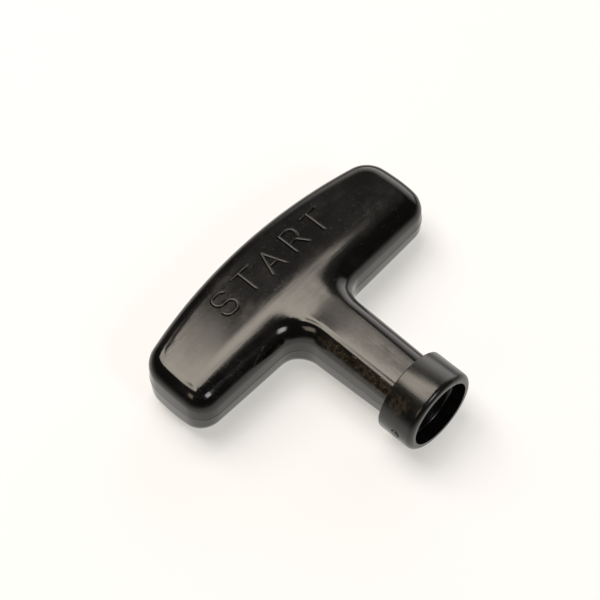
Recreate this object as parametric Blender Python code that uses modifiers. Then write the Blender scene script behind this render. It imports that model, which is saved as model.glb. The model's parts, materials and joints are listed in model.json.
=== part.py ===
"""Recoil starter handle: a T-shaped pull grip, moulded in one piece, with a passage for the starter rope.

The handle is drawn with its stem along Y, the bar across X and the flat of the bar facing Z.
The two halves of its mould meet on Z = 0, so the side walls lean in from there.
At the end the whole handle is laid down the way it comes to rest on a flat surface.
"""
import math

import bmesh
import bpy
from mathutils import Matrix, Vector
from mathutils.geometry import intersect_line_line_2d, intersect_line_sphere_2d, intersect_sphere_sphere_2d

MM = 0.001

# Bar of the T, seen from the front
BAR_WIDTH = 93.0 * MM
BAR_TOP = 12.5 * MM
TOP_ARC_RADIUS = 167.0 * MM
END_ARC_RADIUS = 68.0 * MM
WIDEST_AT = -6.5 * MM
TOP_CORNER_RADIUS = 8.6 * MM
LOWER_CORNER_RADIUS = 6.8 * MM
UNDERSIDE_AT = -17.9 * MM
UNDERSIDE_SLOPE = math.radians(1.0)

# Stem, seen from the front
STEM_WIDTH_AT_BAR = 18.9 * MM
STEM_WIDTH_AT_COLLAR = 17.4 * MM
CROTCH_RADIUS = 6.5 * MM

# Thickness, and how it falls away from the middle of the bar
BAR_THICKNESS = 20.9 * MM
BAR_END_THICKNESS = 18.9 * MM
CROWN = 0.15 * MM
EASE_FROM = -6.0 * MM
EASE_DEPTH = 2.0 * MM
STEM_FALLS_FROM = -7.0 * MM
STEM_LEVELS_AT = -18.5 * MM
STEM_STEEPENS_AT = -28.0 * MM
STEM_FALL_AT_BAR = 0.062
STEM_FALL_AT_CROTCH = 0.028
STEM_FALL_AT_COLLAR = 0.05
BEND_LENGTH = 4.5 * MM
STEM_SPREADS_FROM = 4.5 * MM
STEM_SPREAD = 9.0 * MM
EDGE_FILLET = 4.9 * MM
WALL_LEAN = 0.3 * MM
SMALLEST_LAND = 0.5 * MM

# Collar that meets the starter housing
COLLAR_END = -61.2 * MM
COLLAR_LENGTH = 11.4 * MM
COLLAR_RADIUS = 12.5 * MM
COLLAR_END_FILLET = 1.6 * MM
COLLAR_BACK_EDGE = 0.35 * MM
STEM_IN_COLLAR = 5.8 * MM

# Passage for the rope: socket at the collar, hole along the stem, pocket for the knot
SOCKET_RADIUS = 10.1 * MM
SOCKET_DEPTH = 4.4 * MM
ROPE_HOLE_RADIUS = 2.75 * MM
KNOT_POCKET_RADIUS = 5.6 * MM
KNOT_POCKET_DEPTH = 12.0 * MM
CUT_BEYOND = 4.0 * MM

# Fineness of the facets
FACET = 5.0 * MM
CORNER_STEPS = 8
TOP_ARC_STEPS = 18
END_ARC_STEPS = 3
EDGE_STEPS = 6
COLLAR_STEPS = 72
PASSAGE_STEPS = 48
COLLAR_FILLET_STEPS = 4
WELD = 0.001 * MM


def clear_scene():
    for old in list(bpy.data.objects):
        bpy.data.objects.remove(old)


def new_collection(name):
    collection = bpy.data.collections.new(name)
    bpy.context.scene.collection.children.link(collection)
    return collection


def black_plastic():
    material = bpy.data.materials.new("black_plastic")
    material.use_nodes = True
    shader = material.node_tree.nodes["Principled BSDF"]
    shader.inputs["Base Color"].default_value = (0.006, 0.006, 0.006, 1.0)
    shader.inputs["Roughness"].default_value = 0.22
    shader.inputs["Metallic"].default_value = 0.0
    return material


def rightmost(points):
    return max((point for point in points if point is not None), key=lambda point: point.x)


def arc(centre, start, end, steps):
    """Points from start to end round centre, the short way, without the first."""
    first, last = start - centre, end - centre
    turn = -first.angle_signed(last)
    swung = (Matrix.Rotation(turn * step / steps, 2) @ first for step in range(1, steps + 1))
    return [centre + spoke for spoke in swung]


def line(start, end, longest):
    """Points from start to end, without the first, no further apart than longest."""
    steps = max(1, math.ceil((end - start).length / longest))
    return [start.lerp(end, step / steps) for step in range(1, steps + 1)]


def half_outline():
    """Right half of the handle seen from the front, from the top of the bar down to the stem's end."""
    top = Vector((0.0, BAR_TOP))
    top_centre = top - Vector((0.0, TOP_ARC_RADIUS))
    end_centre = Vector((BAR_WIDTH / 2 - END_ARC_RADIUS, WIDEST_AT))

    # Lines of the underside and of the stem, with their normals pointing out of the plastic
    along_arm = Vector((math.cos(UNDERSIDE_SLOPE), math.sin(UNDERSIDE_SLOPE)))
    below_arm = Vector((along_arm.y, -along_arm.x))
    crotch = Vector((STEM_WIDTH_AT_BAR / 2, UNDERSIDE_AT))
    stem_end = Vector((STEM_WIDTH_AT_COLLAR / 2, COLLAR_END + STEM_IN_COLLAR))
    down_stem = (stem_end - crotch).normalized()
    beside_stem = Vector((-down_stem.y, down_stem.x))

    # Centres of the three rounded corners
    top_corner = rightmost(intersect_sphere_sphere_2d(
        top_centre, TOP_ARC_RADIUS - TOP_CORNER_RADIUS,
        end_centre, END_ARC_RADIUS - TOP_CORNER_RADIUS))
    arm_inside = crotch - below_arm * LOWER_CORNER_RADIUS
    lower_corner = rightmost(intersect_line_sphere_2d(
        arm_inside, arm_inside + along_arm * BAR_WIDTH,
        end_centre, END_ARC_RADIUS - LOWER_CORNER_RADIUS, False))
    arm_outside = crotch + below_arm * CROTCH_RADIUS
    stem_outside = crotch + beside_stem * CROTCH_RADIUS
    hollow = intersect_line_line_2d(
        arm_outside, arm_outside + along_arm * BAR_WIDTH,
        stem_outside, stem_outside + down_stem * BAR_WIDTH)

    # Where the arcs meet the edges
    top_meets = top_centre + (top_corner - top_centre).normalized() * TOP_ARC_RADIUS
    end_meets = end_centre + (top_corner - end_centre).normalized() * END_ARC_RADIUS
    end_leaves = end_centre + (lower_corner - end_centre).normalized() * END_ARC_RADIUS
    arm_meets = lower_corner + below_arm * LOWER_CORNER_RADIUS
    hollow_meets = hollow - below_arm * CROTCH_RADIUS
    stem_meets = hollow - beside_stem * CROTCH_RADIUS

    return (
        [top]
        + arc(top_centre, top, top_meets, TOP_ARC_STEPS)
        + arc(top_corner, top_meets, end_meets, CORNER_STEPS)
        + arc(end_centre, end_meets, end_leaves, END_ARC_STEPS)
        + arc(lower_corner, end_leaves, arm_meets, CORNER_STEPS)
        + line(arm_meets, hollow_meets, FACET)
        + arc(hollow, hollow_meets, stem_meets, CORNER_STEPS)
        + line(stem_meets, stem_end, FACET)
    )


def smooth_step(value):
    value = min(max(value, 0.0), 1.0)
    return value * value * (3.0 - 2.0 * value)


def bend(y, at):
    """How far a face has fallen that turns to a slope of one around `at`, within BEND_LENGTH."""
    past = at + BEND_LENGTH / 2 - y
    if past < BEND_LENGTH:
        return max(past, 0.0) ** 2 / (2 * BEND_LENGTH)
    return past - BEND_LENGTH / 2


def half_thickness(x, y):
    """Height of the front face over the parting plane: crowned, eased on the underside, lower on the stem."""
    across = min(abs(x) / (BAR_WIDTH / 2), 1.0)
    bar = BAR_THICKNESS / 2 - (BAR_THICKNESS - BAR_END_THICKNESS) / 2 * across ** 2
    middle = (BAR_TOP + UNDERSIDE_AT) / 2
    away = min(abs(y - middle) / (BAR_TOP - middle), 1.0)
    bar -= CROWN * away ** 2
    eased = max(0.0, (EASE_FROM - max(y, UNDERSIDE_AT)) / (EASE_FROM - UNDERSIDE_AT))
    arm_drop = EASE_DEPTH * eased ** 2
    stem_drop = STEM_FALL_AT_BAR * bend(y, STEM_FALLS_FROM)
    stem_drop -= (STEM_FALL_AT_BAR - STEM_FALL_AT_CROTCH) * bend(y, STEM_LEVELS_AT)
    stem_drop += (STEM_FALL_AT_COLLAR - STEM_FALL_AT_CROTCH) * bend(y, STEM_STEEPENS_AT)
    beside = smooth_step((abs(x) - STEM_SPREADS_FROM) / STEM_SPREAD)
    return bar - stem_drop - (arm_drop - stem_drop) * beside


def raised(point, fillet):
    """Height of a point once the face has its shape: the walls stretch, the fillet only moves."""
    top = half_thickness(point.x, point.y)
    wall = BAR_THICKNESS / 2 - fillet
    if point.z > wall:
        return point.z + top - BAR_THICKNESS / 2
    return point.z * (top - fillet) / wall


def cut_face_in_grid(bm, face):
    """Cut one large flat face along X and Y, so that it can take a crown."""
    reach = BAR_WIDTH / 2
    planes = []
    for axis, low, high in ((0, -reach, reach), (1, COLLAR_END, BAR_TOP)):
        count = int((high - low) / FACET)
        middle = (low + high) / 2
        planes += [(axis, middle + (step - count / 2) * FACET) for step in range(count + 1)]
    faces = [face]
    for axis, place in planes:
        point = Vector((0.0, 0.0, 0.0))
        point[axis] = place
        normal = Vector((0.0, 0.0, 0.0))
        normal[axis] = 1.0
        edges = {edge for piece in faces for edge in piece.edges}
        verts = {vert for piece in faces for vert in piece.verts}
        cut = bmesh.ops.bisect_plane(
            bm, geom=faces + list(edges) + list(verts), dist=WELD, plane_co=point, plane_no=normal)
        faces = [piece for piece in cut["geom"] if isinstance(piece, bmesh.types.BMFace)]


def moulded_body(collection, material):
    """Bar and stem: one half raised from the outline, rounded and crowned, then mirrored."""
    right = half_outline()
    left = [Vector((-point.x, point.y)) for point in reversed(right[1:])]
    stem_end = right[-1].y
    room = min(BAR_THICKNESS / 2, LOWER_CORNER_RADIUS, TOP_CORNER_RADIUS) - SMALLEST_LAND
    fillet = min(EDGE_FILLET, room)

    bm = bmesh.new()
    outline = reversed(left + right)
    face = bm.faces.new([bm.verts.new((point.x, point.y, 0.0)) for point in outline])
    bm.normal_update()
    bmesh.ops.inset_region(
        bm, faces=[face], thickness=WALL_LEAN, depth=BAR_THICKNESS / 2, use_even_offset=True, use_boundary=True)
    rim = [edge for edge in face.edges if max(vert.co.y for vert in edge.verts) > stem_end + WALL_LEAN + WELD]
    bmesh.ops.bevel(
        bm, geom=rim, offset=fillet, offset_type="OFFSET", segments=EDGE_STEPS, profile=0.5,
        affect="EDGES", clamp_overlap=False, material=-1)
    bm.faces.ensure_lookup_table()
    front = max(bm.faces, key=lambda piece: piece.calc_area() * piece.normal.z)
    cut_face_in_grid(bm, front)
    for vert in bm.verts:
        vert.co.z = raised(vert.co, fillet)

    mesh = bpy.data.meshes.new("handle")
    bm.to_mesh(mesh)
    bm.free()
    handle = bpy.data.objects.new("handle", mesh)
    handle.data.materials.append(material)
    collection.objects.link(handle)
    mirror = handle.modifiers.new("other_half", "MIRROR")
    mirror.use_axis = (False, False, True)
    mirror.merge_threshold = WELD
    return handle


def turned(collection, name, profile, steps):
    """Solid turned round the stem's axis; the profile runs from +Y down to -Y on its outer side."""
    mesh = bpy.data.meshes.new(name)
    points = [(radius, 0.0, height) for radius, height in profile]
    mesh.from_pydata(points, [(number, number + 1) for number in range(len(points) - 1)], [])
    solid = bpy.data.objects.new(name, mesh)
    collection.objects.link(solid)
    solid.rotation_euler.x = -math.pi / 2
    screw = solid.modifiers.new("turn", "SCREW")
    screw.steps = steps
    screw.render_steps = steps
    screw.use_merge_vertices = True
    screw.merge_threshold = WELD
    solid.hide_render = True
    solid.display_type = "WIRE"
    return solid


def collar(collection):
    """Ring that seats on the housing: sharp towards the bar, rounded at its end face."""
    back = COLLAR_END + COLLAR_LENGTH
    fillet_centre = Vector((COLLAR_RADIUS - COLLAR_END_FILLET, COLLAR_END + COLLAR_END_FILLET))
    fillet_starts = fillet_centre + Vector((COLLAR_END_FILLET, 0.0))
    fillet_ends = fillet_centre - Vector((0.0, COLLAR_END_FILLET))
    profile = [
        (0.0, back),
        (COLLAR_RADIUS - COLLAR_BACK_EDGE, back),
        (COLLAR_RADIUS, back - COLLAR_BACK_EDGE),
        tuple(fillet_starts),
    ]
    profile += [tuple(point) for point in arc(fillet_centre, fillet_starts, fillet_ends, COLLAR_FILLET_STEPS)]
    profile.append((0.0, COLLAR_END))
    return turned(collection, "collar", profile, COLLAR_STEPS)


def rope_passage(collection):
    """What is hollow: the knot pocket in the bar's top, the rope hole and the socket in the collar."""
    knot_seat = BAR_TOP - KNOT_POCKET_DEPTH
    socket_floor = COLLAR_END + SOCKET_DEPTH
    profile = [
        (0.0, BAR_TOP + CUT_BEYOND),
        (KNOT_POCKET_RADIUS, BAR_TOP + CUT_BEYOND),
        (KNOT_POCKET_RADIUS, knot_seat),
        (ROPE_HOLE_RADIUS, knot_seat),
        (ROPE_HOLE_RADIUS, socket_floor),
        (SOCKET_RADIUS, socket_floor),
        (SOCKET_RADIUS, COLLAR_END - CUT_BEYOND),
        (0.0, COLLAR_END - CUT_BEYOND),
    ]
    return turned(collection, "rope_passage", profile, PASSAGE_STEPS)


def boolean(target, tool, operation):
    modifier = target.modifiers.new(tool.name, "BOOLEAN")
    modifier.operation = operation
    modifier.solver = "EXACT"
    modifier.object = tool


def world_points(target):
    evaluated = target.evaluated_get(bpy.context.evaluated_depsgraph_get())
    return [evaluated.matrix_world @ vert.co for vert in evaluated.data.vertices]


def rest_tilt(points):
    """Turn about X at which the collar and the back of the bar touch a flat surface together."""
    tilt = 0.0
    for _ in range(6):
        turn = Matrix.Rotation(tilt, 3, "X")
        turned_points = [(point, turn @ point) for point in points]
        heel = min((new for old, new in turned_points if old.y < UNDERSIDE_AT), key=lambda new: new.z)
        toe = min((new for old, new in turned_points if old.y >= UNDERSIDE_AT), key=lambda new: new.z)
        tilt -= math.atan2(toe.z - heel.z, toe.y - heel.y)
    return tilt


def lay_down(target, pieces):
    """Hang the pieces on an empty that lays the handle on Z = 0, with its footprint centred on the origin."""
    points = world_points(target)
    turn = Matrix.Rotation(rest_tilt(points), 3, "X")
    laid = [turn @ point for point in points]
    middle = (min(point.y for point in laid) + max(point.y for point in laid)) / 2
    resting_place = bpy.data.objects.new("resting_place", None)
    bpy.context.scene.collection.objects.link(resting_place)
    resting_place.rotation_euler = turn.to_euler()
    resting_place.location = (0.0, -middle, -min(point.z for point in laid))
    for piece in pieces:
        piece.parent = resting_place


def main():
    clear_scene()
    parts = new_collection("recoil_starter_handle")
    cutters = new_collection("cutters")
    handle = moulded_body(parts, black_plastic())
    ring = collar(cutters)
    passage = rope_passage(cutters)
    boolean(handle, ring, "UNION")
    boolean(handle, passage, "DIFFERENCE")
    handle.data.shade_smooth()
    handle.data.set_sharp_from_angle(angle=math.radians(35.0))
    lay_down(handle, (handle, ring, passage))


main()
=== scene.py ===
# %% [markdown]
# A recoil starter handle, seen on a photographer's table. It is one moulding of glossy black plastic:
# a crowned cross bar for four fingers, a stem, and a collar with a round socket. This lesson draws it
# again at a much finer grain than the solid model, because glossy black shows every facet. It then
# adds what the mould left on it, the raised word on its face, the dust of handling, and the light.

# %% Load the fixed frame
import json
import math

import bmesh
import bpy
from mathutils import Matrix, Vector
from mathutils.geometry import (
    intersect_line_line_2d,
    intersect_line_sphere_2d,
    intersect_sphere_sphere_2d,
)


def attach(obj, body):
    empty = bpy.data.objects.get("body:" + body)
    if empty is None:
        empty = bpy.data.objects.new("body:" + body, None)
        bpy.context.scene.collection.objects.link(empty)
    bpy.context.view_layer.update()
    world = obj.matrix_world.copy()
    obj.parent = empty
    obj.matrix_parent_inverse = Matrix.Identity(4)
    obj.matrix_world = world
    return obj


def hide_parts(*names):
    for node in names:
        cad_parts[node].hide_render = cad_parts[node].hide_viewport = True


MM = 0.001

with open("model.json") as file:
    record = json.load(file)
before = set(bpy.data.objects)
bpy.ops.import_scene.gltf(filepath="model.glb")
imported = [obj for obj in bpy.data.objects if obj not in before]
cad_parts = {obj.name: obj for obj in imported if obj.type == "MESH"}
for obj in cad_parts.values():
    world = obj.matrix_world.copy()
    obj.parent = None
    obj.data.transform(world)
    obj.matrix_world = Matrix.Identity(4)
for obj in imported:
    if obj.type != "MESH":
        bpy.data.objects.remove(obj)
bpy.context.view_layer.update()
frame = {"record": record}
record = frame["record"]

# %% [markdown]
# The handle lies tilted, on its collar and the back of its bar. It is far easier to model it level:
# stem along Y, bar along X, face up, with the parting plane of its mould on Z = 0. The solid model's
# record says where the collar's end face lies and which way it looks, so one matrix carries every
# finished mesh from that level drawing to its place on the table.

# %% From the level drawing to the table
COLLAR_END = -61.2 * MM
COLLAR_FACE_AT = 10.5 * MM

collar_face = next(mount for mount in record["mounts"] if mount["name"] == "collar_end")
face_normal = Vector(collar_face["axis"])
face_centre = Vector(collar_face["pos_m"]) - Vector((COLLAR_FACE_AT, 0.0, 0.0))
TILT = -math.atan2(face_normal.z, -face_normal.y)
TO_TABLE = (
    Matrix.Translation(face_centre)
    @ Matrix.Rotation(TILT, 4, "X")
    @ Matrix.Translation((0.0, -COLLAR_END, 0.0))
)
print("the handle lies tilted by", round(math.degrees(TILT), 3), "degrees")

SMOOTH_BELOW = 35.0


def finished(bm, name, smooth_below=SMOOTH_BELOW):
    """Turn a level bmesh into a smooth object in its place on the table."""
    bmesh.ops.recalc_face_normals(bm, faces=bm.faces[:])
    bmesh.ops.transform(bm, matrix=TO_TABLE, verts=bm.verts[:])
    mesh = bpy.data.meshes.new(name)
    bm.to_mesh(mesh)
    bm.free()
    mesh.shade_smooth()
    mesh.set_sharp_from_angle(angle=math.radians(smooth_below))
    piece = bpy.data.objects.new(name, mesh)
    bpy.context.scene.collection.objects.link(piece)
    print(name, "has", len(mesh.polygons), "faces")
    return piece


# %% [markdown]
# The camera comes first, so that everything after it can be judged from where the photographer
# stood: over the left arm's side, looking down at about sixty degrees, with a long lens.

# %% Camera
VIEW_AZIMUTH = math.radians(-47.50)
VIEW_ELEVATION = math.radians(59.82)
VIEW_ROLL = math.radians(0.51)
VIEW_DISTANCE = 664.6 * MM
LOOKS_AT = Vector((1.37, 16.04, 10.02)) * MM
LENS = 144.31
SENSOR = 36.0

away = Vector((
    math.sin(VIEW_AZIMUTH) * math.cos(VIEW_ELEVATION),
    -math.cos(VIEW_AZIMUTH) * math.cos(VIEW_ELEVATION),
    math.sin(VIEW_ELEVATION),
))
camera_data = bpy.data.cameras.new("view")
camera_data.lens = LENS
camera_data.sensor_width = SENSOR
camera_data.clip_start = 0.01
camera = bpy.data.objects.new("view", camera_data)
bpy.context.scene.collection.objects.link(camera)
camera.location = LOOKS_AT + away * VIEW_DISTANCE
roll = Matrix.Rotation(VIEW_ROLL, 3, "Z").to_quaternion()
camera.rotation_euler = (away.to_track_quat("Z", "Y") @ roll).to_euler()
bpy.context.scene.camera = camera
bpy.context.scene.view_settings.view_transform = "Standard"
print("the camera stands", round(VIEW_DISTANCE / MM), "mm away")

# %% [markdown]
# The outline of the handle is a chain of straight lines and tangent arcs, as a toolmaker scribes it.
# A small pen does the same here: it walks a vertex along a line by extruding it, and round a centre
# with the spin operator. Only the right half is drawn, and a mirror gives the left.

# %% Driving sizes of the bar and the stem
BAR_WIDTH = 93.0 * MM
BAR_TOP = 12.5 * MM
TOP_ARC_RADIUS = 167.0 * MM
END_ARC_RADIUS = 68.0 * MM
WIDEST_AT = -6.5 * MM
TOP_CORNER_RADIUS = 8.6 * MM
LOWER_CORNER_RADIUS = 6.8 * MM
UNDERSIDE_AT = -17.9 * MM
UNDERSIDE_SLOPE = math.radians(1.0)
STEM_WIDTH_AT_BAR = 18.9 * MM
STEM_WIDTH_AT_COLLAR = 17.4 * MM
CROTCH_RADIUS = 6.5 * MM
STEM_IN_COLLAR = 5.8 * MM

# %% The pen that walks along the outline
POINT_SPACING = 1.1 * MM
CORNER_STEPS = 16
WELD = 0.001 * MM


def flat(point):
    return Vector((point.x, point.y, 0.0))


def pen_line(bm, vert, target):
    """Extrude a vertex to the target in even steps."""
    start = vert.co.copy()
    end = flat(target)
    steps = max(1, math.ceil((end - start).length / POINT_SPACING))
    for step in range(1, steps + 1):
        grown = bmesh.ops.extrude_vert_indiv(bm, verts=[vert])
        vert = grown["verts"][0]
        vert.co = start.lerp(end, step / steps)
    return vert


def pen_arc(bm, vert, centre, target, steps=None):
    """Spin a vertex round a centre until it reaches the target, the short way."""
    start_spoke = vert.co.xy - centre
    end_spoke = target - centre
    turn = -start_spoke.angle_signed(end_spoke)
    steps = steps or max(1, math.ceil(abs(turn) * start_spoke.length / POINT_SPACING))
    spun = bmesh.ops.spin(
        bm, geom=[vert], cent=flat(centre), axis=(0.0, 0.0, 1.0), angle=turn, steps=steps)
    return next(item for item in spun["geom_last"] if isinstance(item, bmesh.types.BMVert))


# %% Centres and tangent points of the outline
def rightmost(points):
    return max((point for point in points if point is not None), key=lambda point: point.x)


top = Vector((0.0, BAR_TOP))
top_centre = top - Vector((0.0, TOP_ARC_RADIUS))
end_centre = Vector((BAR_WIDTH / 2 - END_ARC_RADIUS, WIDEST_AT))
along_arm = Vector((math.cos(UNDERSIDE_SLOPE), math.sin(UNDERSIDE_SLOPE)))
below_arm = Vector((along_arm.y, -along_arm.x))
crotch = Vector((STEM_WIDTH_AT_BAR / 2, UNDERSIDE_AT))
stem_end = Vector((STEM_WIDTH_AT_COLLAR / 2, COLLAR_END + STEM_IN_COLLAR))
down_stem = (stem_end - crotch).normalized()
beside_stem = Vector((-down_stem.y, down_stem.x))

top_corner = rightmost(intersect_sphere_sphere_2d(
    top_centre, TOP_ARC_RADIUS - TOP_CORNER_RADIUS,
    end_centre, END_ARC_RADIUS - TOP_CORNER_RADIUS))
arm_inside = crotch - below_arm * LOWER_CORNER_RADIUS
lower_corner = rightmost(intersect_line_sphere_2d(
    arm_inside, arm_inside + along_arm * BAR_WIDTH,
    end_centre, END_ARC_RADIUS - LOWER_CORNER_RADIUS, False))
arm_outside = crotch + below_arm * CROTCH_RADIUS
stem_outside = crotch + beside_stem * CROTCH_RADIUS
hollow = intersect_line_line_2d(
    arm_outside, arm_outside + along_arm * BAR_WIDTH,
    stem_outside, stem_outside + down_stem * BAR_WIDTH)

top_meets = top_centre + (top_corner - top_centre).normalized() * TOP_ARC_RADIUS
end_meets = end_centre + (top_corner - end_centre).normalized() * END_ARC_RADIUS
end_leaves = end_centre + (lower_corner - end_centre).normalized() * END_ARC_RADIUS
arm_meets = lower_corner + below_arm * LOWER_CORNER_RADIUS
hollow_meets = hollow - below_arm * CROTCH_RADIUS
stem_meets = hollow - beside_stem * CROTCH_RADIUS


def draw_outline(bm):
    """Draw the closed outline on Z = 0 and return the face inside it, looking up."""
    pen = bm.verts.new(flat(top))
    pen = pen_arc(bm, pen, top_centre, top_meets)
    pen = pen_arc(bm, pen, top_corner, end_meets, CORNER_STEPS)
    pen = pen_arc(bm, pen, end_centre, end_leaves)
    pen = pen_arc(bm, pen, lower_corner, arm_meets, CORNER_STEPS)
    pen = pen_line(bm, pen, hollow_meets)
    pen = pen_arc(bm, pen, hollow, stem_meets, CORNER_STEPS)
    pen = pen_line(bm, pen, stem_end)
    bmesh.ops.mirror(bm, geom=bm.verts[:] + bm.edges[:], axis="X", merge_dist=WELD)
    ends = sorted(bm.verts, key=lambda vert: vert.co.y)[:2]
    bm.edges.new(ends)
    face = bmesh.ops.contextual_create(bm, geom=bm.edges[:])["faces"][0]
    bm.normal_update()
    if face.normal.z < 0.0:
        face.normal_flip()
    return face


# %% [markdown]
# The face is pushed up from the parting plane with the inset operator. Its first two steps make the
# hairline ridge that two mould halves leave between them, and the last one leans the walls in by the
# mould's draft. One bevel round the rim makes the constant edge fillet, the widest black band in the
# photograph. The flat top is then cut into a grid, so it can be crowned by a formula.

# %% Thickness and fillet
BAR_THICKNESS = 20.9 * MM
BAR_END_THICKNESS = 18.9 * MM
CROWN = 0.15 * MM
EASE_FROM = -6.0 * MM
EASE_DEPTH = 2.0 * MM
STEM_FALLS_FROM = -7.0 * MM
STEM_LEVELS_AT = -18.5 * MM
STEM_STEEPENS_AT = -28.0 * MM
STEM_FALL_AT_BAR = 0.062
STEM_FALL_AT_CROTCH = 0.028
STEM_FALL_AT_COLLAR = 0.05
BEND_LENGTH = 4.5 * MM
STEM_SPREADS_FROM = 4.5 * MM
STEM_SPREAD = 9.0 * MM
EDGE_FILLET = 4.9 * MM
WALL_LEAN = 0.3 * MM
RIDGE_OUT = 0.05 * MM
RIDGE_RISE = RIDGE_OUT / 4
RIDGE_HALF_HEIGHT = 0.12 * MM
FILLET_STEPS = 20
GRID = 1.5 * MM


def smooth_step(value):
    value = min(max(value, 0.0), 1.0)
    return value * value * (3.0 - 2.0 * value)


def bend(y, at):
    """How far a face has fallen that turns to a slope of one around `at`, within BEND_LENGTH."""
    past = at + BEND_LENGTH / 2 - y
    if past < BEND_LENGTH:
        return max(past, 0.0) ** 2 / (2 * BEND_LENGTH)
    return past - BEND_LENGTH / 2


def half_thickness(x, y):
    """Height of the face: crowned, eased towards the underside, falling along the stem."""
    across = min(abs(x) / (BAR_WIDTH / 2), 1.0)
    bar = BAR_THICKNESS / 2 - (BAR_THICKNESS - BAR_END_THICKNESS) / 2 * across ** 2
    middle = (BAR_TOP + UNDERSIDE_AT) / 2
    from_middle = min(abs(y - middle) / (BAR_TOP - middle), 1.0)
    bar -= CROWN * from_middle ** 2
    eased = max(0.0, (EASE_FROM - max(y, UNDERSIDE_AT)) / (EASE_FROM - UNDERSIDE_AT))
    arm_drop = EASE_DEPTH * eased ** 2
    stem_drop = STEM_FALL_AT_BAR * bend(y, STEM_FALLS_FROM)
    stem_drop -= (STEM_FALL_AT_BAR - STEM_FALL_AT_CROTCH) * bend(y, STEM_LEVELS_AT)
    stem_drop += (STEM_FALL_AT_COLLAR - STEM_FALL_AT_CROTCH) * bend(y, STEM_STEEPENS_AT)
    beside = smooth_step((abs(x) - STEM_SPREADS_FROM) / STEM_SPREAD)
    return bar - stem_drop - (arm_drop - stem_drop) * beside


def raised(vert):
    """Height of a vertex once the face has its shape: walls stretch, the fillet only moves."""
    top = half_thickness(vert.co.x, vert.co.y)
    wall = BAR_THICKNESS / 2 - EDGE_FILLET
    if vert.co.z > wall:
        return vert.co.z + top - BAR_THICKNESS / 2
    return vert.co.z * (top - EDGE_FILLET) / wall


# %% Raise, round and crown the body
def cut_in_grid(bm, face):
    """Cut one flat face along X and Y into small cells."""
    reach = BAR_WIDTH / 2
    faces = [face]
    for axis, low, high in ((0, -reach, reach), (1, COLLAR_END, BAR_TOP)):
        count = int((high - low) / GRID)
        for step in range(count + 1):
            place = (low + high) / 2 + (step - count / 2) * GRID
            point = Vector((0.0, 0.0, 0.0))
            point[axis] = place
            normal = Vector((0.0, 0.0, 0.0))
            normal[axis] = 1.0
            edges = {edge for piece in faces for edge in piece.edges}
            verts = {vert for piece in faces for vert in piece.verts}
            cut = bmesh.ops.bisect_plane(
                bm, geom=faces + list(edges) + list(verts), dist=WELD,
                plane_co=point, plane_no=normal)
            faces = [piece for piece in cut["geom"] if isinstance(piece, bmesh.types.BMFace)]


def moulded_body():
    """Bar and stem as one closed bmesh."""
    bm = bmesh.new()
    face = draw_outline(bm)
    for inwards, upwards in (
        (0.0, RIDGE_HALF_HEIGHT),
        (RIDGE_OUT, RIDGE_RISE),
        (WALL_LEAN - RIDGE_OUT, BAR_THICKNESS / 2 - RIDGE_HALF_HEIGHT - RIDGE_RISE),
    ):
        bmesh.ops.inset_region(
            bm, faces=[face], thickness=inwards, depth=upwards,
            use_even_offset=True, use_boundary=True)
    stem_cut = stem_end.y + WALL_LEAN + WELD
    rim = [edge for edge in face.edges if max(vert.co.y for vert in edge.verts) > stem_cut]
    bmesh.ops.bevel(
        bm, geom=rim, offset=EDGE_FILLET, offset_type="OFFSET", segments=FILLET_STEPS, profile=0.5,
        affect="EDGES", clamp_overlap=False, material=-1)
    bm.normal_update()
    front = max(bm.faces, key=lambda piece: piece.calc_area() * piece.normal.z)
    cut_in_grid(bm, front)
    for vert in bm.verts:
        vert.co.z = raised(vert)
    bmesh.ops.mirror(bm, geom=bm.verts[:] + bm.edges[:] + bm.faces[:], axis="Z", merge_dist=WELD)
    return bm


# %% [markdown]
# The collar and the passage for the rope are turned shapes. Each is a profile of a few points,
# spun once round the stem's axis. The collar is joined to the body and the passage is cut out of it.

# %% Collar and passage
COLLAR_LENGTH = 11.4 * MM
COLLAR_RADIUS = 12.5 * MM
COLLAR_END_FILLET = 1.6 * MM
COLLAR_BACK_EDGE = 0.35 * MM
SOCKET_RADIUS = 10.1 * MM
SOCKET_DEPTH = 4.4 * MM
SOCKET_CORNER = 0.7 * MM
ROPE_HOLE_RADIUS = 2.75 * MM
KNOT_POCKET_RADIUS = 5.6 * MM
KNOT_POCKET_DEPTH = 12.0 * MM
CUT_BEYOND = 4.0 * MM
TURN_STEPS = 160


def turned(profile, roundings=()):
    """Spin a profile of (radius, y) points once round Y; roundings are (point, radius, steps)."""
    bm = bmesh.new()
    pen = [bm.verts.new((radius, height, 0.0)) for radius, height in profile]
    for first, second in zip(pen, pen[1:]):
        bm.edges.new((first, second))
    for number, radius, steps in roundings:
        bmesh.ops.bevel(
            bm, geom=[pen[number]], offset=radius, offset_type="OFFSET", segments=steps, profile=0.5,
            affect="VERTICES", clamp_overlap=False, material=-1)
    bmesh.ops.spin(
        bm, geom=bm.verts[:] + bm.edges[:], cent=(0.0, 0.0, 0.0), axis=(0.0, 1.0, 0.0),
        angle=2 * math.pi, steps=TURN_STEPS, use_merge=True)
    bmesh.ops.remove_doubles(bm, verts=bm.verts[:], dist=WELD)
    bmesh.ops.recalc_face_normals(bm, faces=bm.faces[:])
    return bm


def collar():
    back = COLLAR_END + COLLAR_LENGTH
    profile = [(0.0, back), (COLLAR_RADIUS, back), (COLLAR_RADIUS, COLLAR_END), (0.0, COLLAR_END)]
    return turned(profile, [(1, COLLAR_BACK_EDGE, 3), (2, COLLAR_END_FILLET, 10)])


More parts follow.
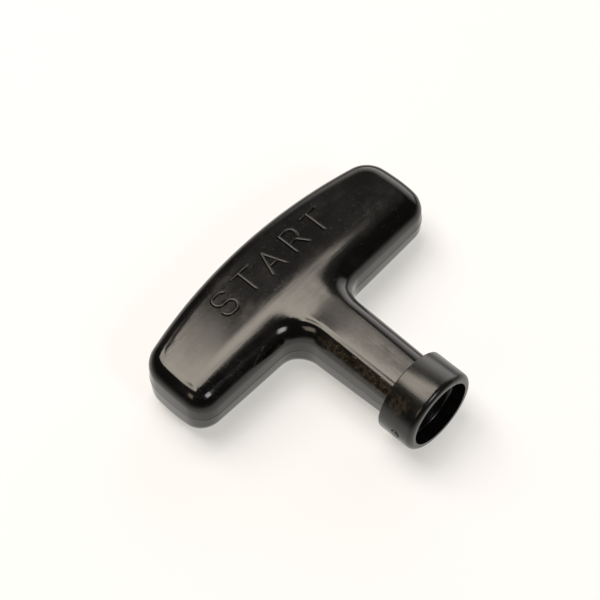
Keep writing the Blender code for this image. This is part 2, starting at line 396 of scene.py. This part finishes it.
def rope_passage():
    knot_seat = BAR_TOP - KNOT_POCKET_DEPTH
    socket_floor = COLLAR_END + SOCKET_DEPTH
    profile = [
        (0.0, BAR_TOP + CUT_BEYOND),
        (KNOT_POCKET_RADIUS, BAR_TOP + CUT_BEYOND),
        (KNOT_POCKET_RADIUS, knot_seat),
        (ROPE_HOLE_RADIUS, knot_seat),
        (ROPE_HOLE_RADIUS, socket_floor),
        (SOCKET_RADIUS, socket_floor),
        (SOCKET_RADIUS, COLLAR_END - CUT_BEYOND),
        (0.0, COLLAR_END - CUT_BEYOND),
    ]
    return turned(profile, [(5, SOCKET_CORNER, 6)])


def combine(target, tool, operation):
    """Apply one Boolean to target and remove the tool."""
    modifier = target.modifiers.new(tool.name, "BOOLEAN")
    modifier.operation = operation
    modifier.solver = "EXACT"
    modifier.object = tool
    evaluated = target.evaluated_get(bpy.context.evaluated_depsgraph_get())
    mesh = bpy.data.meshes.new_from_object(evaluated)
    target.modifiers.clear()
    target.data = mesh
    bpy.data.objects.remove(tool)
    print(operation.lower(), "leaves", len(mesh.polygons), "faces")


handle = finished(moulded_body(), "handle_moulding")
combine(handle, finished(collar(), "collar_ring"), "UNION")
combine(handle, finished(rope_passage(), "rope_cutter"), "DIFFERENCE")
handle.data.shade_smooth()
handle.data.set_sharp_from_angle(angle=math.radians(SMOOTH_BELOW))
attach(handle, "root")
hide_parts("handle")

# %% [markdown]
# The word on the bar's face was cut into the mould with a small cutter, so on the handle it stands
# proud as beads of even width, each with a narrow top and steep flanks that reflect black. A turtle
# draws them: half a section is spun half a turn to make the rounded end, then the whole section is
# extruded ahead or spun round a bend.

# %% A bead and the turtle that lays it
BEAD_HALF_WIDTH = 0.5 * MM
BEAD_HEIGHT = 0.5 * MM
BEAD_SKIRT = 0.6 * MM
BEAD_SUNK = 0.25 * MM
BEND_STEP = math.radians(12.0)

HALF_SECTION = [
    (0.0, BEAD_HEIGHT),
    (0.34 * BEAD_HALF_WIDTH, 0.99 * BEAD_HEIGHT),
    (0.48 * BEAD_HALF_WIDTH, 0.94 * BEAD_HEIGHT),
    (0.58 * BEAD_HALF_WIDTH, 0.8 * BEAD_HEIGHT),
    (BEAD_HALF_WIDTH, 0.1 * BEAD_HEIGHT),
    (1.08 * BEAD_HALF_WIDTH, 0.02 * BEAD_HEIGHT),
    (BEAD_SKIRT, 0.0),
    (BEAD_SKIRT + 0.1 * MM, -BEAD_SUNK),
]


def spin_about(bm, geom, x, y, angle):
    """Spin edges about the vertical line through x, y; return the edges at the far end."""
    steps = max(2, math.ceil(abs(angle) / BEND_STEP))
    spun = bmesh.ops.spin(
        bm, geom=geom, cent=(x, y, 0.0), axis=(0.0, 0.0, 1.0), angle=angle, steps=steps)
    return [item for item in spun["geom_last"] if isinstance(item, bmesh.types.BMEdge)]


def lay_bead(bm, x, y, heading, *moves):
    """Lay one bead. Each move is (ahead,) or (radius, turn), a left turn being positive."""
    heading = math.radians(heading)
    across = Vector((math.sin(heading), -math.cos(heading), 0.0))
    verts = [bm.verts.new(Vector((x, y, height)) + across * out) for out, height in HALF_SECTION]
    right = [bm.edges.new(pair) for pair in zip(verts, verts[1:])]
    left = spin_about(bm, verts + right, x, y, -math.pi)
    section = right + left
    for move in moves:
        if len(move) == 1:
            grown = bmesh.ops.extrude_edge_only(bm, edges=section)["geom"]
            section = [item for item in grown if isinstance(item, bmesh.types.BMEdge)]
            step = Vector((math.cos(heading), math.sin(heading), 0.0)) * move[0] * MM
            moved = [item for item in grown if isinstance(item, bmesh.types.BMVert)]
            bmesh.ops.translate(bm, vec=step, verts=moved)
            section = [edge for edge in section if all(vert in moved for vert in edge.verts)]
            x += step.x
            y += step.y
        else:
            radius, turn = move[0] * MM, math.radians(move[1])
            side = math.copysign(radius, turn)
            centre_x = x - side * math.sin(heading)
            centre_y = y + side * math.cos(heading)
            corners = list({vert for edge in section for vert in edge.verts})
            section = spin_about(bm, corners + section, centre_x, centre_y, turn)
            heading += turn
            x = centre_x + side * math.sin(heading)
            y = centre_y - side * math.cos(heading)
    to_right = Vector((math.sin(heading), -math.cos(heading), 0.0))
    here = Vector((x, y, 0.0))
    ending = [
        edge for edge in section
        if sum((vert.co - here).dot(to_right) for vert in edge.verts) > 0.0]
    corners = list({vert for edge in ending for vert in edge.verts})
    spin_about(bm, corners + ending, x, y, math.pi)


# %% The word, letter by letter
CAP_LINE = 4.85 * MM
BASE_LINE = -2.25 * MM
CAP = (CAP_LINE - BASE_LINE) / MM
WORD_SMOOTH_BELOW = 60.0

word = bmesh.new()
lay_bead(
    word, -15.8 * MM, 3.65 * MM, 118,
    (1.75, 62), (1.25,), (1.75, 180), (1.3,), (1.85, -180), (1.4,), (1.85, -82))
for left_end, length, stem_at, drop in ((-11.7, 6.0, -8.85, 0.0), (15.5, 5.6, 17.85, 0.4)):
    top_line = CAP_LINE - drop * MM
    lay_bead(word, left_end * MM, top_line, 0, (length,))
    lay_bead(word, stem_at * MM, top_line, -90, (CAP,))
lay_bead(word, 0.1 * MM, CAP_LINE - 0.35 * MM, -110.5, (7.5,))
lay_bead(word, 0.1 * MM, CAP_LINE - 0.35 * MM, -69.5, (7.5,))
lay_bead(word, -1.5 * MM, 0.05 * MM, 0, (3.2,))
lay_bead(word, 7.3 * MM, CAP_LINE, -90, (CAP,))
lay_bead(word, 7.3 * MM, CAP_LINE, 0, (2.45,), (1.95, -180), (2.45,))
lay_bead(word, 10.1 * MM, CAP_LINE - 3.9 * MM, -57, (3.85,))
bmesh.ops.remove_doubles(word, verts=word.verts[:], dist=WELD)
bmesh.ops.holes_fill(word, edges=word.edges[:])
for vert in word.verts:
    vert.co.z += half_thickness(vert.co.x, vert.co.y)
letters = finished(word, "raised_word", WORD_SMOOTH_BELOW)
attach(letters, "root")

# %% [markdown]
# Plastic enters the mould through a small gate, and where it was snipped off a low round stub is left
# on the collar's side. It is a cone with caps, turned to stand on the collar, its top edge rounded.

# %% Gate mark on the collar
GATE_AT = Vector((-12.47, -55.8, -0.84)) * MM
GATE_RADIUS = 1.5 * MM
GATE_PROUD = 0.22 * MM
GATE_ROUNDING = 0.1 * MM
GATE_TAPER = 0.94

bm = bmesh.new()
bmesh.ops.create_cone(
    bm, cap_ends=True, segments=40, radius1=GATE_RADIUS, radius2=GATE_RADIUS * GATE_TAPER, depth=MM)
rim = [edge for edge in bm.edges if all(vert.co.z > 0.0 for vert in edge.verts)]
bmesh.ops.bevel(
    bm, geom=rim, offset=GATE_ROUNDING, offset_type="OFFSET", segments=4, profile=0.5,
    affect="EDGES", clamp_overlap=True, material=-1)
outwards = Vector((GATE_AT.x, 0.0, GATE_AT.z)).normalized()
bmesh.ops.translate(bm, vec=(0.0, 0.0, GATE_PROUD - MM / 2), verts=bm.verts[:])
bmesh.ops.rotate(bm, matrix=outwards.to_track_quat("Z", "Y").to_matrix(), verts=bm.verts[:])
bmesh.ops.translate(bm, vec=GATE_AT, verts=bm.verts[:])
gate = finished(bm, "gate_mark")
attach(gate, "root")

# %% [markdown]
# Nothing here is painted: the colour is in the plastic, and its surface is a polished mould's. What
# makes it look real is wear. Each kind of wear is a node group, so that it can be placed again with
# other values, and every group reads the same Object coordinates in metres.

# %% Helpers for building nodes
def add_node(tree, kind, inputs=(), **settings):
    """Add a node, set it up, and feed its inputs with sockets or plain values."""
    made = tree.nodes.new("ShaderNode" + kind)
    for name, value in settings.items():
        setattr(made, name, value)
    for key, value in dict(inputs).items():
        if isinstance(value, bpy.types.NodeSocket):
            tree.links.new(value, made.inputs[key])
        else:
            made.inputs[key].default_value = value
    return made


def sums(tree, operation, *values, clamp=False):
    """One Math node."""
    made = add_node(tree, "Math", dict(enumerate(values)), operation=operation, use_clamp=clamp)
    return made.outputs["Value"]


def vectors(tree, operation, *values, result="Vector"):
    """One Vector Math node."""
    made = add_node(tree, "VectorMath", dict(enumerate(values)), operation=operation)
    return made.outputs[result]


def ramped(tree, value, low, high, to_low=0.0, to_high=1.0):
    """Carry a value from one range to another, smoothly and without going past its ends."""
    made = add_node(
        tree, "MapRange",
        {"Value": value, "From Min": low, "From Max": high, "To Min": to_low, "To Max": to_high},
        interpolation_type="SMOOTHSTEP")
    return made.outputs["Result"]


# A Mix node keeps sockets for every kind of value; these are the numbers of its colour sockets.
MIX_FACTOR, MIX_FIRST, MIX_SECOND, MIX_RESULT = 0, 6, 7, 2


def mixed(tree, factor, first, second, blend="MIX"):
    """Mix two colours."""
    made = add_node(
        tree, "Mix", {MIX_FACTOR: factor, MIX_FIRST: first, MIX_SECOND: second},
        data_type="RGBA", blend_type=blend)
    return made.outputs[MIX_RESULT]


def new_group(name, inputs):
    """A node group with one output, Mask; return it, what it is given and what it gives."""
    group = bpy.data.node_groups.new(name, "ShaderNodeTree")
    for label, kind, value in inputs:
        socket = group.interface.new_socket(label, in_out="INPUT", socket_type="NodeSocket" + kind)
        socket.default_value = value
    group.interface.new_socket("Mask", in_out="OUTPUT", socket_type="NodeSocketFloat")
    given = group.nodes.new("NodeGroupInput").outputs
    gives = group.nodes.new("NodeGroupOutput").inputs
    return group, given, gives


def placed(tree, group, inputs):
    """Place a group in a material and return its mask."""
    return add_node(tree, "Group", inputs, node_tree=group).outputs["Mask"]


# %% [markdown]
# Dust is a scatter of separate specks. A Voronoi texture splits space into cells; a speck is a small
# ball at a cell's point, and the cell's own random colour says whether it holds one.

# %% Dust specks
NOWHERE = (0.0, 0.0, 0.0)
SPECK_EDGE = 2.5

dust_specks, given, gives = new_group("dust_specks", (
    ("Vector", "Vector", NOWHERE), ("Scale", "Float", 1000.0),
    ("Share", "Float", 0.1), ("Size", "Float", 0.2)))
cells = add_node(dust_specks, "TexVoronoi", {"Vector": given["Vector"], "Scale": given["Scale"]})
near = sums(dust_specks, "SUBTRACT", given["Size"], cells.outputs["Distance"])
near = sums(dust_specks, "DIVIDE", near, given["Size"])
near = sums(dust_specks, "MULTIPLY", near, SPECK_EDGE, clamp=True)
chance = add_node(dust_specks, "SeparateXYZ", {"Vector": cells.outputs["Color"]}).outputs["X"]
chosen = sums(dust_specks, "LESS_THAN", chance, given["Share"])
dust_specks.links.new(sums(dust_specks, "MULTIPLY", near, chosen), gives["Mask"])

# %% [markdown]
# Rubbing and polishing leave fine streaks that run one way. Noise whose coordinates are stretched
# along one axis gives them, and the Stretch input says how many streaks fit in a metre each way.

# %% Rubbed streaks
rubbed_streaks, given, gives = new_group("rubbed_streaks", (
    ("Vector", "Vector", NOWHERE), ("Stretch", "Vector", (100.0, 1000.0, 100.0)),
    ("Contrast", "Float", 1.0)))
stretched = vectors(rubbed_streaks, "MULTIPLY", given["Vector"], given["Stretch"])
grain = add_node(
    rubbed_streaks, "TexNoise", {"Vector": stretched, "Scale": 1.0, "Detail": 4.0, "Roughness": 0.65})
grain = sums(rubbed_streaks, "SUBTRACT", grain.outputs["Fac"], 0.5)
grain = sums(rubbed_streaks, "MULTIPLY", grain, given["Contrast"])
rubbed_streaks.links.new(sums(rubbed_streaks, "ADD", grain, 0.5, clamp=True), gives["Mask"])

# %% [markdown]
# A smudge is a soft patch round one place, broken up by grain: coarse grain for the mark of a
# finger, fine and hard grain for the brown dirt that settles where the stem meets the collar.

# %% Smudge
FILLED_BY = 0.55

smudge, given, gives = new_group("smudge", (
    ("Vector", "Vector", NOWHERE), ("Place", "Vector", NOWHERE),
    ("Reach", "Vector", (0.01, 0.01, 0.01)), ("Grain", "Float", 300.0), ("Hardness", "Float", 2.0)))
offset = vectors(smudge, "SUBTRACT", given["Vector"], given["Place"])
offset = vectors(smudge, "DIVIDE", offset, given["Reach"])
off_centre = vectors(smudge, "LENGTH", offset, result="Value")
inside = sums(smudge, "SUBTRACT", 1.0, off_centre, clamp=True)
inside = sums(smudge, "MULTIPLY", inside, 2.0, clamp=True)
grain = add_node(
    smudge, "TexNoise", {"Vector": given["Vector"], "Scale": given["Grain"], "Detail": 3.0})
grain = sums(smudge, "SUBTRACT", grain.outputs["Fac"], 0.5)
grain = sums(smudge, "MULTIPLY", grain, given["Hardness"])
grain = sums(smudge, "ADD", grain, sums(smudge, "MULTIPLY", inside, FILLED_BY), clamp=True)
smudge.links.new(sums(smudge, "MULTIPLY", grain, inside), gives["Mask"])

# %% [markdown]
# A scratch is what lies close to the line between two points. Only how far off it is seen from above
# counts, so a scratch runs over an edge as a real one does.

# %% Scratch
FROM_ABOVE = (1.0, 1.0, 0.0)

scratch, given, gives = new_group("scratch", (
    ("Vector", "Vector", NOWHERE), ("Start", "Vector", NOWHERE), ("End", "Vector", (0.01, 0.0, 0.0)),
    ("Width", "Float", 0.0002)))
line = vectors(scratch, "SUBTRACT", given["End"], given["Start"])
line = vectors(scratch, "MULTIPLY", line, FROM_ABOVE)
here = vectors(scratch, "SUBTRACT", given["Vector"], given["Start"])
here = vectors(scratch, "MULTIPLY", here, FROM_ABOVE)
along = sums(
    scratch, "DIVIDE",
    vectors(scratch, "DOT_PRODUCT", here, line, result="Value"),
    vectors(scratch, "DOT_PRODUCT", line, line, result="Value"), clamp=True)
nearest = add_node(scratch, "VectorMath", {0: line, "Scale": along}, operation="SCALE")
off_line = vectors(scratch, "DISTANCE", here, nearest.outputs["Vector"], result="Value")
off_line = sums(scratch, "DIVIDE", off_line, given["Width"])
mark = sums(scratch, "SUBTRACT", 1.0, off_line, clamp=True)
broken = add_node(
    scratch, "TexNoise", {"Vector": given["Vector"], "Scale": 2200.0, "Detail": 2.0})
broken = ramped(scratch, broken.outputs["Fac"], 0.36, 0.6)
scratch.links.new(sums(scratch, "MULTIPLY", mark, broken), gives["Mask"])

# %% [markdown]
# The material puts them together. Its base is a true black, and every mask makes it a little paler,
# duller or both. The Bump node stays faint, because gloss black shows a hair's breadth as a ripple.

# %% Black plastic
BLACK = (0.0028, 0.0026, 0.0025, 1.0)
FILM = (0.0085, 0.0078, 0.0072, 1.0)
PALE_DUST = (0.16, 0.175, 0.19, 1.0)
BROWN_DIRT = (0.13, 0.098, 0.058, 1.0)
SCUFF = (0.11, 0.105, 0.098, 1.0)

plastic = bpy.data.materials.new("black_plastic")
plastic.use_nodes = True
tree = plastic.node_tree
shader = tree.nodes["Principled BSDF"]
at = add_node(tree, "TexCoord").outputs["Object"]


def level(x, y, z=9.0):
    """A place on the level drawing, in millimetres, as Object coordinates."""
    return TO_TABLE @ (Vector((x, y, z)) * MM)


def strongest(masks):
    """Overlay masks, keeping the strongest at each point."""
    masks = list(masks)
    result = masks[0]
    for mask in masks[1:]:
        result = sums(tree, "MAXIMUM", result, mask)
    return result


split_at = add_node(tree, "SeparateXYZ", {"Vector": at}).outputs
front = ramped(tree, split_at["Z"], level(0, 0, -1.0).z, level(0, 0, 1.5).z)
stem = ramped(tree, split_at["Y"], level(0, -16.0).y, level(0, -20.0).y)

# %% Where the wear lies
cloud = add_node(tree, "TexNoise", {"Vector": at, "Scale": 130.0, "Detail": 4.0, "Roughness": 0.6})
film = ramped(tree, cloud.outputs["Fac"], 0.42, 0.68)
along_bar, along_stem = (
    placed(tree, rubbed_streaks, {"Vector": at, "Stretch": stretch, "Contrast": 2.6})
    for stretch in ((70.0, 1200.0, 500.0), (1300.0, 60.0, 500.0)))
streaks = add_node(
    tree, "Mix", {"Factor": stem, "A": along_bar, "B": along_stem}, data_type="FLOAT")
streaks = streaks.outputs["Result"]


def smudged(place, reach, grain, hardness):
    """A smudge at a place on the level drawing, reaching so many millimetres each way."""
    return placed(tree, smudge, {
        "Vector": at, "Place": level(*place), "Reach": Vector(reach) * MM,
        "Grain": grain, "Hardness": hardness})


stem_rub = smudged((1.2, -36.0), (5.2, 30.0, 12.0), 500.0, 1.2)
finger_marks = strongest(
    smudged(place, (*reach, 6.0), 420.0, 2.6)
    for place, reach in (
        ((-12.0, 7.5), (8.0, 3.5)), ((-31.0, -3.0), (9.0, 6.0)), ((24.0, 4.0), (14.0, 6.0)),
        ((34.0, -7.0), (9.0, 4.0)), ((-14.0, -6.0), (7.0, 4.0))))

fine_dust = placed(tree, dust_specks, {"Vector": at, "Scale": 2100.0, "Share": 0.16, "Size": 0.15})
left_dust = placed(tree, dust_specks, {"Vector": at, "Scale": 2600.0, "Share": 0.5, "Size": 0.22})
left_patch = smudged((-35.0, -13.5, 7.5), (16.0, 4.5, 6.0), 600.0, 2.2)
dust = strongest((fine_dust, sums(tree, "MULTIPLY", left_dust, left_patch)))

dirt_patch = strongest(
    smudged(place, (*reach, 7.0), 900.0, 3.0)
    for place, reach in (
        ((-7.6, -30.0, 8.0), (1.8, 9.0)), ((-7.4, -40.0, 8.0), (2.4, 7.0)),
        ((-7.4, -46.5, 8.0), (2.8, 6.0)), ((-9.2, -54.0, 8.4), (3.2, 4.0))))
dirt_grains = placed(tree, dust_specks, {"Vector": at, "Scale": 2500.0, "Share": 0.65, "Size": 0.28})
dirt = sums(tree, "MULTIPLY_ADD", dirt_grains, 0.8, 0.2)
dirt = sums(tree, "MULTIPLY", sums(tree, "MULTIPLY", dirt, dirt_patch), front)

scratches = strongest(
    placed(tree, scratch, {
        "Vector": at, "Start": level(*start), "End": level(*end), "Width": width * MM})
    for start, end, width in (
        ((-19.6, -15.2), (-25.0, -16.6), 0.3), ((-7.2, -46.0), (-6.8, -47.9), 0.2),
        ((-7.5, -47.7), (-6.6, -46.4), 0.2), ((-6.2, -34.7), (-6.0, -36.2), 0.3),
        ((5.0, -60.6), (6.4, -61.4), 0.5), ((-12.2, -60.2), (-11.2, -61.6), 0.5)))
scratches = sums(tree, "MULTIPLY", scratches, front)

# %% Colour, roughness and relief
colour = BLACK
for mask, strength, tint in (
        (strongest((film, finger_marks)), 0.55, FILM), (dirt, 0.95, BROWN_DIRT),
        (scratches, 0.16, SCUFF), (dust, 0.42, PALE_DUST)):
    colour = mixed(tree, sums(tree, "MULTIPLY", mask, strength), colour, tint)
tree.links.new(colour, shader.inputs["Base Color"])

GLOSS = 0.09
collar_satin = ramped(tree, split_at["Y"], level(0, -49.2).y, level(0, -50.0).y)
roughness = sums(tree, "MULTIPLY_ADD", film, 0.02, GLOSS)
for mask, amount in (
        (streaks, 0.05), (finger_marks, 0.05), (stem_rub, 0.15), (collar_satin, 0.13),
        (dirt, 0.25), (scratches, 0.2), (dust, 0.3)):
    roughness = sums(tree, "MULTIPLY_ADD", mask, amount, roughness)
tree.links.new(roughness, shader.inputs["Roughness"])

relief = sums(tree, "MULTIPLY_ADD", dirt, 1.2, streaks)
relief = sums(tree, "MULTIPLY_ADD", dust, 1.5, relief)
bump = add_node(tree, "Bump", {"Height": relief, "Strength": 0.5, "Distance": 0.012 * MM})
tree.links.new(bump.outputs["Normal"], shader.inputs["Normal"])
for piece in (handle, letters, gate):
    piece.data.materials.clear()
    piece.data.materials.append(plastic)
print("black plastic has", len(tree.nodes), "nodes")

# %% [markdown]
# The handle lies on white paper. The background's white comes from the paper and not from more light:
# to the camera and to reflections it is partly its lit self, which keeps the shadow, and partly plain
# white. In reflections its white glow is painted to fade away from the handle: a painted reflection.

# %% Floor
FLOOR_SIZE = 6.0
PAPER = (0.8, 0.82, 0.9, 1.0)

floor_mesh = bpy.data.meshes.new("floor")
bm = bmesh.new()
bmesh.ops.create_grid(bm, x_segments=1, y_segments=1, size=FLOOR_SIZE / 2)
bm.to_mesh(floor_mesh)
bm.free()
floor = bpy.data.objects.new("floor", floor_mesh)
bpy.context.scene.collection.objects.link(floor)
paper = bpy.data.materials.new("floor_paper")
paper.use_nodes = True
paper_shader = paper.node_tree.nodes["Principled BSDF"]
paper_shader.inputs["Base Color"].default_value = PAPER
paper_shader.inputs["Roughness"].default_value = 0.9
floor_mesh.materials.append(paper)

PAPER_WHITE = (1.0, 0.97, 0.9, 1.0)
WHITE_SHARE = 0.45
WHITE_SHARE_IN_GLOSS = 0.8
GLOSS_WHITE_FROM = 0.05
GLOSS_WHITE_TO = 0.15
GLOSS_DIMS_BY = 0.95
paper_tree = paper.node_tree
rays = add_node(paper_tree, "LightPath").outputs
on_paper = add_node(paper_tree, "TexCoord").outputs["Object"]
# Painted reflection: glossy rays see the paper's white glow fade with distance from the handle.
far_off = vectors(paper_tree, "LENGTH", on_paper, result="Value")
painted_reflection_fade = ramped(paper_tree, far_off, GLOSS_WHITE_FROM, GLOSS_WHITE_TO, 0.0, GLOSS_DIMS_BY)
painted_reflection_fade = sums(paper_tree, "MULTIPLY", painted_reflection_fade, rays["Is Glossy Ray"])
strength = sums(paper_tree, "SUBTRACT", 1.0, painted_reflection_fade)
white = add_node(paper_tree, "Emission", {"Color": PAPER_WHITE, "Strength": strength})
share = sums(paper_tree, "MULTIPLY", rays["Is Camera Ray"], WHITE_SHARE)
share = sums(paper_tree, "MULTIPLY_ADD", rays["Is Glossy Ray"], WHITE_SHARE_IN_GLOSS, share)
blended = add_node(paper_tree, "MixShader", {
    0: share, 1: paper_shader.outputs["BSDF"], 2: white.outputs["Emission"]})
surface = paper_tree.nodes["Material Output"].inputs["Surface"]
paper_tree.links.new(blended.outputs["Shader"], surface)
print("the floor is", FLOOR_SIZE, "m wide")

# %% [markdown]
# A glossy black thing shows little but its surroundings, so the studio is what draws it. Level soft
# boxes hang close together above it and behind it, and their outline is the outline of the big pale
# patches on the stem and the left arm. Two smaller lights, in front and at the left, make the small
# bright spots in the rounded edges.

# %% Soft lights
LIGHT_HEIGHT = 2.0
RADIANCE_TO_POWER = math.pi


def soft_light(name, place, size, radiance, colour=(1.0, 1.0, 1.0), turn=0.0, aimed=False):
    """An area light of a plain radiance, overhead and level, or aimed at the handle."""
    where = Vector((place[0], place[1], 1.0)) * LIGHT_HEIGHT
    data = bpy.data.lights.new(name, "AREA")
    data.shape = "RECTANGLE"
    data.size, data.size_y = (side * LIGHT_HEIGHT for side in size)
    data.energy = radiance * data.size * data.size_y * RADIANCE_TO_POWER
    data.color = colour
    light = bpy.data.objects.new(name, data)
    light.location = where
    back = where.normalized() if aimed else Vector((0.0, 0.0, 1.0))
    turned_by = Matrix.Rotation(turn, 3, "Z")
    light.rotation_euler = (back.to_track_quat("Z", "Y").to_matrix() @ turned_by).to_euler()
    bpy.context.scene.collection.objects.link(light)
    print(name, "gives", round(data.energy), "watts")


# A place is given as seen from the handle: sideways and away for each unit of height.
WARM = (1.0, 0.91, 0.78)
AMBER = (1.0, 0.84, 0.64)
NEAR_TURN = math.radians(22.0)
FAR_TURN = math.radians(-8.8)
soft_light("near_box", (0.074, 0.1515), (0.84, 0.163), 7.4, WARM, turn=NEAR_TURN)
soft_light("middle_box", (-0.062, 0.45), (0.74, 0.34), 7.4, WARM, turn=FAR_TURN)
soft_light("corner_box", (-0.275, 0.249), (0.265, 0.28), 6.0, WARM, turn=NEAR_TURN)
soft_light("far_box", (-0.051, 0.975), (0.6, 0.7), 6.0, WARM, turn=FAR_TURN)
soft_light("front_light", (0.06, -1.16), (0.48, 0.48), 7.0, aimed=True)
soft_light("left_light", (-1.3, -0.05), (0.52, 0.52), 2.8, AMBER, aimed=True)

# %% [markdown]
# The rest of the room is nearly black, which is what makes the plastic look black. It brightens a
# little overhead, and much more towards the right, where the end of the right arm reflects it.

# %% World
world = bpy.data.worlds.new("studio")
bpy.context.scene.world = world
world.use_nodes = True
sky = world.node_tree
BRIGHT_SIDE = Vector((0.94, 0.34, 0.0)).normalized()
CEILING = Vector((0.35, 0.42, 0.84)).normalized()
CEILING_GLOWS_FROM = 0.88
CEILING_GLOW = 0.13
view = add_node(sky, "TexCoord").outputs["Generated"]
towards = vectors(sky, "DOT_PRODUCT", view, BRIGHT_SIDE, result="Value")
fall = add_node(sky, "ValToRGB", {"Fac": towards})
stops = fall.color_ramp
stops.interpolation = "EASE"
stops.elements[0].position = 0.65
stops.elements[0].color = (0.035, 0.034, 0.033, 1.0)
stops.elements[1].position = 0.95
stops.elements[1].color = (2.6, 2.5, 2.4, 1.0)
stops.elements.new(0.8).color = (1.4, 1.33, 1.25, 1.0)
overhead = vectors(sky, "DOT_PRODUCT", view, CEILING, result="Value")
overhead = ramped(sky, overhead, CEILING_GLOWS_FROM, 1.0, 0.0, CEILING_GLOW)
room = mixed(sky, 1.0, fall.outputs["Color"], overhead, blend="ADD")
sky.links.new(room, sky.nodes["Background"].inputs["Color"])
print("the room's light has", len(sky.nodes), "nodes")
